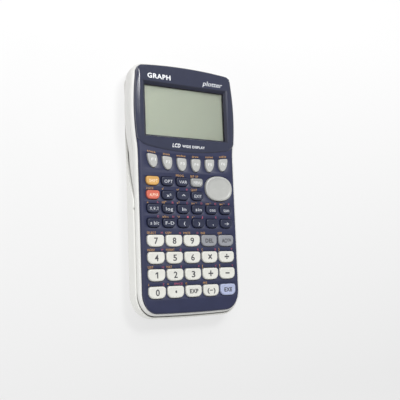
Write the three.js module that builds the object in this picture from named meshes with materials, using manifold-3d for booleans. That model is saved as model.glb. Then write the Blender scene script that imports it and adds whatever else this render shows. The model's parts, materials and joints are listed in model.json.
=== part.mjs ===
// A graphing calculator lying on its back, with its slide-on hard cover stored underneath.
// Millimetres. X is the width, +Y points to the display end, +Z points out of the keyboard.
// The origin is the middle of the footprint, on the surface that the stored cover rests on.
import * as THREE from "three";
import { mergeVertices } from "three/addons/utils/BufferGeometryUtils.js";
import Module from "manifold-3d";

const wasm = await Module();
wasm.setup();

// ---- Driving dimensions ----
const LENGTH = 180.5;
const COVER_HALF = 42.6; // half width of the stored cover
const FRAME_HALF = 41.6; // half width of the light frame beside the keys
const PANEL_HALF = 39.4; // half width of the dark panel beside the keys
const PANEL_BULGE = 2.0; // the display end is this much wider on each side
const FRAME_BULGE = 2.15;
const BULGE_Y = 55.4;
const BULGE_RADIUS = 180;
const PANEL_LOW = -86.9;
const PANEL_HIGH = 88.5;
const FRAME_LOW = -88.4;

// Heights, from the resting surface up
const COVER_FLOOR = 1.6;
const CASE_BOTTOM = 2.3;
const CASE_FLOOR = 3.5;
const CASE_TOP = 14.6;
const FRAME_BOTTOM = 14.8;
const LEDGE = 17.5;
const PANEL_BOTTOM = 17.6;
const PANEL_TOP = 19.6;
const PANEL_ROLL = 1.7; // the panel's edge rolls down to the frame
const FRAME_TOP = PANEL_TOP - PANEL_ROLL;
const BEZEL_BOTTOM = 18.7;
const BEZEL_TOP = 20.6;
const LENS_BOTTOM = 17.4;
const LENS_TOP = 18.6;
const FILM_TOP = 16.7; // face of the liquid crystal
const MODULE_BOTTOM = 14.5;

// Gaps
const GAP = 0.3;
const SLIDE_GAP = 0.5; // between the case and the stored cover

// Keys
const MAT_TOP = 15.2; // the rubber mat stays clear of the pressed keys
const MAT_BOTTOM = 14.0;
const BOARD_TOP = 13.7;
const BOARD_BOTTOM = 12.3;
const FLANGE_BOTTOM = 16.5;
const FLANGE_TOP = 17.3;
const FLANGE_REACH = 0.5; // how far a flange reaches under the panel along Y
const KEY_TOP = PANEL_TOP + 1.4;
const PAD_TOP = PANEL_TOP + 1.7;
const PAD_FLANGE = 16.2; // the pad rocks, so its flange has room above and below
const PAD = { x: 24.7, y: 1.0, rx: 11.45, ry: 9.05 };

// Display
const WINDOW = { half: 33.1, low: 37.2, high: 73.3 };
const WINDOW_SLOPES = [2.0, 1.1, 2.2]; // how far the walls lean out: sides, near end, far end

// Back and sockets
const BATTERY_DOOR = { half: 26, low: 29.5, high: 83.5 };
const USB_SOCKET = { left: 10.2, right: 18.8, bottom: 6.2, top: 10.8 };
const LINK_SOCKET = { x: -8, z: 8.5, radius: 1.6 };
const COVER_SWEEP = [ // the swept edge of the cover: [along Y, height]
  [-8, 14.45],
  [1, 12.6],
  [12, 4.4],
  [58, 2.1],
];
const CASE_SWEEP = [ // the step in the case above it
  [-6, 14.85],
  [3, 13.6],
  [13, 5.9],
  [58, 3.0],
];

// ---- Materials ----
const material = (colour, roughness, metalness = 0) =>
  new THREE.MeshStandardMaterial({ color: colour, roughness, metalness });
const WHITE = material(0xe9e8e4, 0.4);
const NAVY = material(0x3a3e58, 0.42);
const NAVY_GLOSS = material(0x3c4258, 0.15);
const KEY_WHITE = material(0xdeddda, 0.4);
const KEY_NAVY = material(0x343952, 0.4);
const KEY_GREY = material(0x9797a0, 0.4);
const KEY_SILVER = material(0xbabbbc, 0.35);
const KEY_BLUE = material(0xb4bee4, 0.4);
const KEY_ORANGE = material(0xebaf5a, 0.4);
const KEY_RED = material(0xe1735f, 0.4);
const RUBBER = material(0x8d8f8c, 0.8);
const BOARD = material(0x2f6b45, 0.5);
const CLEAR = material(0xdfe6e2, 0.05);
const LIQUID_CRYSTAL = material(0xa9b29c, 0.3);
const CELL = material(0xb9bcc0, 0.3, 0.8);

const root = new THREE.Group();

// ---- Solids ----

// Turns a closed geometry into a solid for cutting and joining.
function solid(geometry) {
  const bare = geometry.index ? geometry.toNonIndexed() : geometry.clone();
  bare.deleteAttribute("normal");
  bare.deleteAttribute("uv");
  const merged = mergeVertices(bare, 1e-4);
  return new wasm.Manifold(
    new wasm.Mesh({
      numProp: 3,
      vertProperties: merged.attributes.position.array,
      triVerts: new Uint32Array(merged.index.array),
    }),
  );
}

// Turns a solid back into a geometry.
function geometryOf(body) {
  const mesh = body.getMesh();
  const geometry = new THREE.BufferGeometry();
  geometry.setAttribute("position", new THREE.BufferAttribute(mesh.vertProperties, 3));
  geometry.setIndex(new THREE.BufferAttribute(mesh.triVerts, 1));
  return geometry;
}

// Adds one named piece to the model.
function addPiece(name, body, look) {
  const geometry = geometryOf(body);
  geometry.computeVertexNormals();
  const mesh = new THREE.Mesh(geometry, look);
  mesh.name = name;
  root.add(mesh);
}

// Skins a stack of outlines, each an anticlockwise list of [x, y] with the same number of points.
function loft(rings) {
  const count = rings[0].outline.length;
  const positions = [];
  for (const ring of rings) {
    for (const [x, y] of ring.outline) {
      positions.push(x, y, ring.z);
    }
  }
  const indices = [];
  for (let level = 0; level + 1 < rings.length; level += 1) {
    for (let i = 0; i < count; i += 1) {
      const a = level * count + i;
      const b = level * count + ((i + 1) % count);
      indices.push(a, b, b + count);
      indices.push(a, b + count, a + count);
    }
  }
  const cap = (ring) =>
    THREE.ShapeUtils.triangulateShape(
      ring.outline.map(([x, y]) => new THREE.Vector2(x, y)),
      [],
    );
  const last = (rings.length - 1) * count;
  for (const [a, b, c] of cap(rings[0])) {
    indices.push(c, b, a);
  }
  for (const [a, b, c] of cap(rings[rings.length - 1])) {
    indices.push(last + a, last + b, last + c);
  }
  const geometry = new THREE.BufferGeometry();
  geometry.setAttribute("position", new THREE.Float32BufferAttribute(positions, 3));
  geometry.setIndex(indices);
  return solid(geometry);
}

const prism = (outline, low, high) =>
  loft([
    { z: low, outline },
    { z: high, outline },
  ]);

// A box from its lowest to its highest corner.
function block([x0, y0, z0], [x1, y1, z1]) {
  return prism(
    [
      [x0, y0],
      [x1, y0],
      [x1, y1],
      [x0, y1],
    ],
    z0,
    z1,
  );
}

// ---- Outlines ----

const smoothMax = (a, b, blend) => (a + b + Math.hypot(a - b, blend)) / 2;

// The half width of a body at one point along its length. The sides swell beside the display.
function sideHalf(y, body) {
  if (!body.bulge) {
    return body.half;
  }
  const swell = body.bulge - (y - BULGE_Y) ** 2 / (2 * BULGE_RADIUS);
  return body.half + smoothMax(0, swell, 0.4) - 0.05;
}

// A body outline: straight beside the keys, swollen beside the display, with bowed ends and
// elliptical corners. body = { half, bulge, low, high, lowCorner: [rx, ry], highCorner: [rx, ry] }.
function bodyOutline(body) {
  const LOW_BOW = 0.9;
  const HIGH_BOW = 2.1;
  const STEPS = 5;
  const right = [];
  const [lowX, lowY] = body.lowCorner;
  const [highX, highY] = body.highCorner;
  const endAt = (end, bow, x) => end + bow * (x / body.half) ** 2;
  for (const share of [0, 0.5]) {
    const x = share * (body.half - lowX);
    right.push([x, endAt(body.low, LOW_BOW, x)]);
  }
  const lowEnd = endAt(body.low, LOW_BOW, body.half - lowX);
  for (let i = 0; i <= STEPS; i += 1) {
    const turn = (i / STEPS) * (Math.PI / 2);
    const y = lowEnd + lowY * (1 - Math.cos(turn));
    right.push([sideHalf(y, body) - lowX * (1 - Math.sin(turn)), y]);
  }
  const highHalf = sideHalf(body.high, body);
  const highEnd = endAt(body.high, -HIGH_BOW, highHalf - highX);
  const sideFrom = 14;
  const sideTo = highEnd - highY;
  const SIDE_STEPS = body.bulge ? 9 : 1;
  for (let i = 0; i < SIDE_STEPS; i += 1) {
    const y = sideFrom + ((sideTo - sideFrom) * i) / SIDE_STEPS;
    right.push([sideHalf(y, body), y]);
  }
  for (let i = 0; i <= STEPS; i += 1) {
    const turn = (i / STEPS) * (Math.PI / 2);
    const y = highEnd - highY * (1 - Math.sin(turn));
    right.push([sideHalf(y, body) - highX * (1 - Math.cos(turn)), y]);
  }
  right.push([0.5 * (highHalf - highX), endAt(body.high, -HIGH_BOW, 0.5 * (highHalf - highX))]);
  right.push([0, body.high]);
  const left = right
    .slice(1, -1)
    .reverse()
    .map(([x, y]) => [-x, y]);
  return [...right, ...left];
}

// The same body, smaller by one distance all round.
function shrunk(body, inset) {
  return {
    ...body,
    half: body.half - inset,
    low: body.low + inset,
    high: body.high - inset,
    lowCorner: body.lowCorner.map((r) => Math.max(r - inset, 2)),
    highCorner: body.highCorner.map((r) => Math.max(r - inset, 1.5)),
  };
}

const PANEL_BODY = {
  half: PANEL_HALF,
  bulge: PANEL_BULGE,
  low: PANEL_LOW,
  high: PANEL_HIGH,
  lowCorner: [11, 14],
  highCorner: [4.5, 4.5],
};
const FRAME_BODY = {
  half: FRAME_HALF,
  bulge: FRAME_BULGE,
  low: FRAME_LOW,
  high: LENGTH / 2,
  lowCorner: [13.5, 16],
  highCorner: [9, 9],
};
const COVER_BODY = {
  half: COVER_HALF,
  bulge: 0,
  low: -LENGTH / 2,
  high: 88.5,
  lowCorner: [14.5, 17],
  highCorner: [12, 12],
};
// The inside of the cover runs on past its open end.
const OPEN_COVER = { ...COVER_BODY, high: 120, highCorner: [2, 2] };

const panelOutline = (inset) => bodyOutline(shrunk(PANEL_BODY, inset));

// Rings of a body whose inset changes with height: a list of [z, inset].
const shell = (body, steps) =>
  loft(steps.map(([z, inset]) => ({ z, outline: bodyOutline(shrunk(body, inset)) })));

// A rounded rectangle round [x, y], with its own corner radii and a bowed lower edge.
function keyOutline({ x, y, width, height, topRadius, lowRadius, bow = 0, grow = [0, 0] }) {
  const halfX = width / 2 + grow[0];
  const halfY = height / 2 + grow[1];
  const corners = [
    [1, 1, topRadius],
    [-1, 1, topRadius],
    [-1, -1, lowRadius],
    [1, -1, lowRadius],
  ];
  const points = [];
  corners.forEach(([sideX, sideY, radius], corner) => {
    for (const step of [0, 0.5, 1]) {
      const turn = (corner + step) * (Math.PI / 2);
      const px = sideX * (halfX - radius) + radius * Math.cos(turn);
      const py = sideY * (halfY - radius) + radius * Math.sin(turn);
      const sag = sideY < 0 ? bow * ((px / halfX) ** 2 - 0.5) : 0;
      points.push([x + px, y + py + sag]);
    }
    if (corner === 2) {
      points.push([x, y - halfY - bow / 2]);
    }
  });
  return points;
}

// A soft-key outline: a top edge that follows the display panel, running down to a rounded tip.
function softKeyOutline({ x, y, grow = [0, 0] }) {
  const HALF_WIDTH = 3.9;
  const TOP = 4.75;
  const TIP = -4.8;
  const slope = softKeySlope(x);
  const lean = -0.042 * x;
  const halfX = HALF_WIDTH + grow[0];
  const halfY = (TOP - TIP) / 2 + grow[1];
  const points = [];
  for (const [u, v] of [
    [0.25, -0.9],
    [0.62, -0.6],
    [0.88, -0.15],
    [0.98, 0.35],
    [0.97, 0.8],
    [0.75, 1.0],
    [0, 1.02],
    [-0.75, 1.0],
    [-0.97, 0.8],
    [-0.98, 0.35],
    [-0.88, -0.15],
    [-0.62, -0.6],
    [-0.25, -0.9],
    [0, -0.97],
  ]) {
    const down = (1 - v) / 2;
    points.push([x + u * halfX + lean * down, y + v * halfY + slope * u * halfX * (1 - down)]);
  }
  return points;
}

// The soft keys lie along a shallow arc under the display panel.
const SOFT_ARC = 1.7 / 30 ** 2;
const softKeyHeight = (x) => 16.9 + SOFT_ARC * x * x;
const softKeySlope = (x) => 2 * SOFT_ARC * x;

// A superellipse of the cursor pad, larger or smaller by one distance.
function padOutline(grow) {
  const STEPS = 24;
  const POWER = 2 / 2.25;
  const points = [];
  for (let i = 0; i < STEPS; i += 1) {
    const turn = (i / STEPS) * 2 * Math.PI;
    const c = Math.cos(turn);
    const s = Math.sin(turn);
    points.push([
      PAD.x + (PAD.rx + grow) * Math.sign(c) * Math.abs(c) ** POWER,
      PAD.y + (PAD.ry + grow) * Math.sign(s) * Math.abs(s) ** POWER,
    ]);
  }
  return points;
}

// A wedge across the whole width, under a swept edge.
function underSweep(sweep) {
  const curve = new THREE.CubicBezierCurve(...sweep.map(([y, z]) => new THREE.Vector2(y, z)));
  const profile = new THREE.Shape();
  profile.moveTo(-200, -20);
  profile.lineTo(200, -20);
  profile.lineTo(200, sweep[3][1] - 0.6);
  for (const point of curve.getPoints(12).reverse()) {
    profile.lineTo(point.x, point.y);
  }
  profile.lineTo(-200, sweep[0][1]);
  const geometry = new THREE.ExtrudeGeometry(profile, { depth: 120, bevelEnabled: false });
  // The profile's X and Y become the model's Y and Z.
  geometry.applyMatrix4(
    new THREE.Matrix4().makeBasis(
      new THREE.Vector3(0, 1, 0),
      new THREE.Vector3(0, 0, 1),
      new THREE.Vector3(1, 0, 0),
    ),
  );
  geometry.translate(-60, 0, 0);
  return solid(geometry);
}

// ---- Keys ----

// The small keys: six columns, with the pad in place of the last two in the first two rows.
const COLUMN = 11.96;
const SMALL_KEY = { width: 10.1, height: 6.1, topRadius: 1.7, lowRadius: 2.6, bow: 0.5 };
const SMALL_ROWS = [
  { y: 4.8, names: ["shift", "option", "variables", "menu"] },
  { y: -5.0, names: ["alpha", "square", "power", "exit"] },
  { y: -14.5, names: ["variable_x", "log", "ln", "sin", "cos", "tan"] },
  { y: -24.4, names: ["fraction", "convert", "open_bracket", "close_bracket", "comma", "store"] },
];
const SMALL_LOOKS = { shift: KEY_ORANGE, alpha: KEY_RED, menu: KEY_SILVER };

// The number block: five columns of larger keys.
const NUMBER_COLUMN = 14.49;
const NUMBER_ROW = 11.73;
const NUMBER_TOP_ROW = -36.7;
const NUMBER_KEY = { width: 13.2, height: 8.0, topRadius: 2.1, lowRadius: 3.3, bow: 0.7 };
const NUMBER_ROWS = [
  ["7", "8", "9", "delete", "all_clear"],
  ["4", "5", "6", "multiply", "divide"],
  ["1", "2", "3", "plus", "minus"],
  ["0", "point", "exponent", "negate", "execute"],
];
const NUMBER_LOOKS = { delete: KEY_GREY, all_clear: KEY_GREY, execute: KEY_BLUE };

// Every key as { name, look, outline(grow) }.
function listKeys() {
  const keys = [];
  for (let i = 0; i < 6; i += 1) {
    const x = (i - 2.5) * COLUMN;
    const place = { x, y: softKeyHeight(x) };
    keys.push({
      name: `key_f${i + 1}`,
      look: KEY_SILVER,
      outline: (grow) => softKeyOutline({ ...place, grow }),
    });
  }
  for (const { y, names } of SMALL_ROWS) {
    names.forEach((name, i) => {
      const place = { ...SMALL_KEY, x: (i - 2.5) * COLUMN, y };
      keys.push({
        name: `key_${name}`,
        look: SMALL_LOOKS[name] ?? KEY_NAVY,
        outline: (grow) => keyOutline({ ...place, grow }),
      });
    });
  }
  NUMBER_ROWS.forEach((names, row) => {
    names.forEach((name, i) => {
      const place = { ...NUMBER_KEY, x: (i - 2) * NUMBER_COLUMN, y: NUMBER_TOP_ROW - row * NUMBER_ROW };
      keys.push({
        name: `key_${name}`,
        look: NUMBER_LOOKS[name] ?? KEY_WHITE,
        outline: (grow) => keyOutline({ ...place, grow }),
      });
    });
  });
  return keys;
}

const KEYS = listKeys();
const HOLE_GROW = [0.25, 0.25];
const FLANGE_GROW = [0.4, HOLE_GROW[1] + FLANGE_REACH];

// A key: a flange that the panel holds in, a stem that fills its hole, and a crowned top.
function keyBody(key) {
  const SHOULDER = 0.6;
  return loft([
    { z: FLANGE_BOTTOM, outline: key.outline(FLANGE_GROW) },
    { z: FLANGE_TOP, outline: key.outline(FLANGE_GROW) },
    { z: FLANGE_TOP + 0.1, outline: key.outline([0, 0]) },
    { z: KEY_TOP - SHOULDER, outline: key.outline([-0.1, -0.1]) },
    { z: KEY_TOP, outline: key.outline([-0.1 - SHOULDER, -0.1 - SHOULDER]) },
  ]);
}

function addKeys() {
  for (const key of KEYS) {
    addPiece(key.name, keyBody(key), key.look);
  }
}

// The cursor pad rocks on a small pivot, so its flange has room above and below.
function addCursorPad() {
  const pad = loft([
    { z: PAD_FLANGE, outline: padOutline(0.9) },
    { z: PAD_FLANGE + 0.5, outline: padOutline(0.9) },
    { z: PAD_FLANGE + 0.6, outline: padOutline(0) },
    { z: PAD_TOP - 0.5, outline: padOutline(-0.05) },
    { z: PAD_TOP, outline: padOutline(-0.7) },
    { z: PAD_TOP - 0.2, outline: padOutline(-1.9) },
  ]);
  addPiece("cursor_pad", pad, KEY_SILVER);
  const pivot = new THREE.CylinderGeometry(2.4, 2.4, 0.4, 16);
  pivot.rotateX(Math.PI / 2);
  pivot.translate(PAD.x, PAD.y, PAD_FLANGE - 0.5);
  addPiece("cursor_pivot", solid(pivot), RUBBER);
}

// ---- Panel and display ----

// The display panel's lower edge is bowed, with a round corner on each side.
const BEZEL_EDGE_Y = 26.4; // middle of the lower edge
const BEZEL_EDGE_BOW = 2.4; // rise at the start of the corners
const BEZEL_EDGE_HALF = 30;

// Everything on the display side of the bowed edge, moved towards the keys by one distance.
function displaySide(shift) {
  const points = [];
  const STEPS = 10;
  for (let i = 0; i <= STEPS; i += 1) {
    const x = -BEZEL_EDGE_HALF + (2 * BEZEL_EDGE_HALF * i) / STEPS;
    points.push([x, BEZEL_EDGE_Y + BEZEL_EDGE_BOW * (x / BEZEL_EDGE_HALF) ** 2 - shift]);
  }
  const cornerLow = BEZEL_EDGE_Y + BEZEL_EDGE_BOW - shift;
  const corner = new THREE.CubicBezierCurve(
    new THREE.Vector2(BEZEL_EDGE_HALF, cornerLow),
    new THREE.Vector2(36.5, cornerLow + 0.9),
    new THREE.Vector2(38.8, cornerLow + 2.2),
    new THREE.Vector2(41.5 + shift, cornerLow + 8.5),
  ).getPoints(6);
  const right = corner.slice(1).map((p) => [p.x, p.y]);
  const left = [...right].reverse().map(([x, y]) => [-x, y]);
  return [...left, ...points, ...right, [60, 60], [60, 120], [-60, 120], [-60, 60]];
}

// The display window at one height: its walls slope, most of all at the far end.
function windowOutline(grow, growNear = grow, growFar = grow) {
  const { half, low, high } = WINDOW;
  return [
    [-half - grow, low - growNear],
    [half + grow, low - growNear],
    [half + grow, high + growFar],
    [-half - grow, high + growFar],
  ];
}

function addPanel() {
  let panel = shell(PANEL_BODY, [
    [PANEL_BOTTOM, 0],
    [FRAME_TOP, 0],
    [PANEL_TOP - 0.3 * PANEL_ROLL, 0.3 * PANEL_ROLL],
    [PANEL_TOP, PANEL_ROLL],
  ]);
  const recess = prism(displaySide(GAP), BEZEL_BOTTOM - 0.1, PANEL_TOP + 5);
  const windowHole = prism(windowOutline(2.4), 0, 40);
  panel = panel.subtract(recess).subtract(windowHole);
  for (const key of KEYS) {
    panel = panel.subtract(prism(key.outline(HOLE_GROW), 0, 40));
  }
  panel = panel.subtract(prism(padOutline(0.45), 0, 40));
  addPiece("faceplate", panel, NAVY);
}

function addDisplay() {
  const crown = shell(PANEL_BODY, [
    [BEZEL_BOTTOM, 0],
    [PANEL_TOP - 0.1, 0.15],
    [BEZEL_TOP - 0.4, 0.9],
    [BEZEL_TOP, 2.6],
  ]);
  const slopedWindow = loft([
    { z: BEZEL_BOTTOM - 1, outline: windowOutline(0) },
    { z: BEZEL_BOTTOM, outline: windowOutline(0) },
    { z: BEZEL_TOP, outline: windowOutline(...WINDOW_SLOPES) },
    { z: BEZEL_TOP + 1, outline: windowOutline(...WINDOW_SLOPES) },
  ]);
  const bezel = crown
    .intersect(prism(displaySide(0), 0, 40))
    .subtract(slopedWindow);
  addPiece("display_bezel", bezel, NAVY_GLOSS);

  addPiece("display_window", prism(windowOutline(2), LENS_BOTTOM, LENS_TOP), CLEAR);

  const GLASS_THICKNESS = 0.3;
  const carrier = block([-36, 33.5, MODULE_BOTTOM], [36, 77.5, FILM_TOP - GLASS_THICKNESS]);
  const glass = block([-34.4, 35.5, FILM_TOP - GLASS_THICKNESS - 0.1], [34.4, 75.4, FILM_TOP]);
  addPiece("lcd_module", carrier.add(glass), LIQUID_CRYSTAL);
}

// ---- Cases and cover ----

function addCases() {
  const frame = shell(FRAME_BODY, [
    [FRAME_BOTTOM, 0],
    [FRAME_TOP - 1.6, 0.05],
    [FRAME_TOP - 0.5, 0.45],
    [FRAME_TOP, 1.3],
  ]);
  const recess = prism(panelOutline(-0.3), LEDGE, 40);
  const middle = prism(panelOutline(1.2), 0, 40);
  addPiece("upper_case", frame.subtract(recess).subtract(middle), WHITE);

  const full = shell(FRAME_BODY, [
    [CASE_BOTTOM, 4.0],
    [3.5, 2.3],
    [5, 1.3],
    [8, 0.55],
    [11, 0.2],
    [CASE_TOP, 0],
  ]);
  // The part that slides inside the stored cover, with a groove under the frame for its lip.
  const inCover = shell(OPEN_COVER, [
    [CASE_BOTTOM - 1, 6.4],
    [CASE_BOTTOM, 6.4],
    [3.3, 4.3],
    [4.9, 2.8],
    [6.9, 1.5 + SLIDE_GAP],
    [13.2, 1.5 + SLIDE_GAP],
    [13.25, 2.9],
    [CASE_TOP + 1, 2.9],
  ]);
  const everything = block([-60, -120, -10], [60, 120, 40]);
  const aboveSweep = everything.subtract(underSweep(CASE_SWEEP));
  const cavity = shell(PANEL_BODY, [
    [CASE_FLOOR, 4.2],
    [6, 1.6],
    [9, 1.2],
    [40, 1.2],
  ]);
  const { half, low, high } = BATTERY_DOOR;
  const doorHole = block([-half - GAP, low - GAP, -10], [half + GAP, high + GAP, CASE_FLOOR + 1]);
  const { left, right, bottom, top } = USB_SOCKET;
  const usbHole = block([left, 80, bottom], [right, 100, top]);
  const linkHole = new THREE.CylinderGeometry(LINK_SOCKET.radius, LINK_SOCKET.radius, 20, 16);
  linkHole.translate(LINK_SOCKET.x, 90, LINK_SOCKET.z);
  const rear = full
    .intersect(aboveSweep.add(inCover))
    .subtract(cavity)
    .subtract(doorHole)
    .subtract(usbHole)
    .subtract(solid(linkHole));
  addPiece("rear_case", rear, WHITE);
  addPiece(
    "battery_cover",
    block([-half, low, CASE_BOTTOM], [half, high, CASE_FLOOR]),
    WHITE,
  );
}

function addSlideCover() {
  const outside = shell(COVER_BODY, [
    [0, 6],
    [0.9, 3.6],
    [2.2, 1.9],
    [4, 0.7],
    [6.5, 0.1],
    [14.4, 0],
  ]);
  const inside = shell(OPEN_COVER, [
    [COVER_FLOOR, 6.2],
    [2.6, 3.8],
    [4.2, 2.3],
    [6.5, 1.5],
    [13.45, 1.5],
    [13.5, 2.65],
    [40, 2.65],
  ]);
  // At the keyboard end the rim is thinner, which leaves an open groove round the frame.
  const rim = 1.1;
  const grooveFloor = 12.2;
  const grooveEnd = block([-60, -120, grooveFloor], [60, -72, 40]);
  const groove = prism(bodyOutline(shrunk(OPEN_COVER, rim)), grooveFloor, 40).intersect(grooveEnd);
  const cover = outside.subtract(inside).subtract(groove).intersect(underSweep(COVER_SWEEP));
  addPiece("slide_cover", cover, WHITE);
}

// ---- Inside ----

function addInside() {
  const keyboardEnd = block([-60, -120, 0], [60, 24, 40]);
  const mat = prism(panelOutline(2.2), MAT_BOTTOM, MAT_TOP).intersect(keyboardEnd);
  addPiece("key_membrane", mat, RUBBER);
  const board = prism(panelOutline(2.6), BOARD_BOTTOM, BOARD_TOP).intersect(keyboardEnd);
  addPiece("circuit_board", board, BOARD);
}

// Two cells side by side, joined at one end by the strip that links their contacts.
function batteryPair(middleX) {
  const CELL_RADIUS = 5.15;
  const CELL_PITCH = 11;
  const LOW = 33.5;
  const CASE_LENGTH = 43.3;
  const NUB = 1.0;
  const HEIGHT = 9.1;
  const profile = [
    [0, 0],
    [CELL_RADIUS, 0],
    [CELL_RADIUS, CASE_LENGTH],
    [2, CASE_LENGTH],
    [2, CASE_LENGTH + NUB],
    [0, CASE_LENGTH + NUB],
  ].map(([x, y]) => new THREE.Vector2(x, y));
  const cell = (x) => {
    const geometry = new THREE.LatheGeometry(profile, 20);
    geometry.translate(x, LOW, HEIGHT);
    return solid(geometry);
  };
  const strip = block(
    [middleX - 8, LOW - 0.4, HEIGHT - 2.5],
    [middleX + 8, LOW + 0.1, HEIGHT + 2.5],
  );
  return cell(middleX - CELL_PITCH / 2)
    .add(cell(middleX + CELL_PITCH / 2))
    .add(strip);
}

addSlideCover();
addCases();
addInside();
addPiece("battery_pair_left", batteryPair(-12), CELL);
addPiece("battery_pair_right", batteryPair(12), CELL);
addPanel();
addDisplay();
addCursorPad();
addKeys();

export default root;
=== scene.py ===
"""Looks of the graphing calculator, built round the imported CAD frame.

Shapes and the camera's place are in millimetres until they are made. Materials and lights are
in metres.
"""
import json
import math
from functools import partial

import bpy
from mathutils import Matrix, Vector
from mathutils.geometry import tessellate_polygon


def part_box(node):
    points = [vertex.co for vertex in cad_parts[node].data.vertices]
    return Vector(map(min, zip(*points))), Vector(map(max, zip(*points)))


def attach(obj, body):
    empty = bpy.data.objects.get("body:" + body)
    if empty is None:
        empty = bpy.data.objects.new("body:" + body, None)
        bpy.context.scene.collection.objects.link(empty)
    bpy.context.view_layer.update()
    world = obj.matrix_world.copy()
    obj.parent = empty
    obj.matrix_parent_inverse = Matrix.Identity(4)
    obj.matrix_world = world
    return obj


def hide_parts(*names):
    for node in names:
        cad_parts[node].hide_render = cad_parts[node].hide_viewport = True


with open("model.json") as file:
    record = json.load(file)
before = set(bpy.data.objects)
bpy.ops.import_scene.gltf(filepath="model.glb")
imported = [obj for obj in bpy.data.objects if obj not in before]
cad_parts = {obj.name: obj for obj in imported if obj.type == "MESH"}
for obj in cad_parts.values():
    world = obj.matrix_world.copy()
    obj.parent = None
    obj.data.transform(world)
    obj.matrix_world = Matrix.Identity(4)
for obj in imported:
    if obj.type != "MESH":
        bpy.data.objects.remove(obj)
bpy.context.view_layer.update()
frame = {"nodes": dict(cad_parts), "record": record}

MM = 0.001

# ---- Sizes that repeat the CAD's driving dimensions ----
PANEL = {
    "half": 39.4, "bulge": 2.0, "low": -86.9, "high": 88.5,
    "low_corner": (11, 14), "high_corner": (4.5, 4.5),
}
SHELL = {
    "half": 41.6, "bulge": 2.15, "low": -88.4, "high": 90.25,
    "low_corner": (13.5, 16), "high_corner": (9, 9),
}
COVER = {
    "half": 42.6, "bulge": 0, "low": -90.25, "high": 88.5,
    "low_corner": (14.5, 17), "high_corner": (12, 12),
}
OPEN_COVER = {**COVER, "high": 120, "high_corner": (2, 2)}
BULGE_Y = 55.4
BULGE_RADIUS = 180
COVER_SWEEP = [(-8, 14.45), (1, 12.6), (12, 4.4), (58, 2.1)]
CASE_SWEEP = [(-6, 14.85), (3, 13.6), (13, 5.9), (58, 3.0)]
GROOVE_FLOOR = 12.2
GROOVE_RIM = 1.1
GROOVE_END = -72
COLUMN = 11.96
WINDOW_HALF = 33.1
WINDOW_LOW = 37.2
WINDOW_HIGH = 73.3
WINDOW_MIDDLE = 55

# ---- Sizes of what is only made here ----
SCREWS = [(side * x, y) for side in (1, -1) for x, y in ((33, 78), (33, 20), (31, -74))]
FEET = [(side * x, y) for side in (1, -1) for x, y in ((33, 66), (31, -62))]
RESET_HOLE = (0, 20)
USB = (14.5, 8.5, 8.6, 4.6)  # middle in X and Z, width and height of the opening
LINK = (-8, 8.5, 1.6)  # middle in X and Z, and radius
NOTCH_FROM, NOTCH_TO = -15.4, -13.8  # a small nick in the rim of the cover's side walls
NOTCH_FLOOR = 13.75
PAST_X, PAST_Y = 60, 120  # cutters end well outside the part


def mm_box(node):
    low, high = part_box(node)
    return low / MM, high / MM


def middle(node):
    low, high = mm_box(node)
    return (low + high) / 2


PANEL_TOP = mm_box("faceplate")[1].z
PANEL_BOTTOM = mm_box("faceplate")[0].z
FRAME_TOP = mm_box("upper_case")[1].z
PANEL_ROLL = PANEL_TOP - FRAME_TOP
LEDGE = PANEL_BOTTOM - 0.1
BEZEL_BOTTOM = mm_box("display_bezel")[0].z
BEZEL_TOP = mm_box("display_bezel")[1].z
FILM_TOP = mm_box("lcd_module")[1].z
PAD_X, PAD_Y = middle("cursor_pad").xy
GRID_X = middle("key_sin").x - COLUMN / 2


# ---- Materials ----
def linear(*srgb):
    return tuple(((c / 255 + 0.055) / 1.055) ** 2.4 if c > 10 else c / 255 / 12.92 for c in srgb) + (1.0,)


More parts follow.
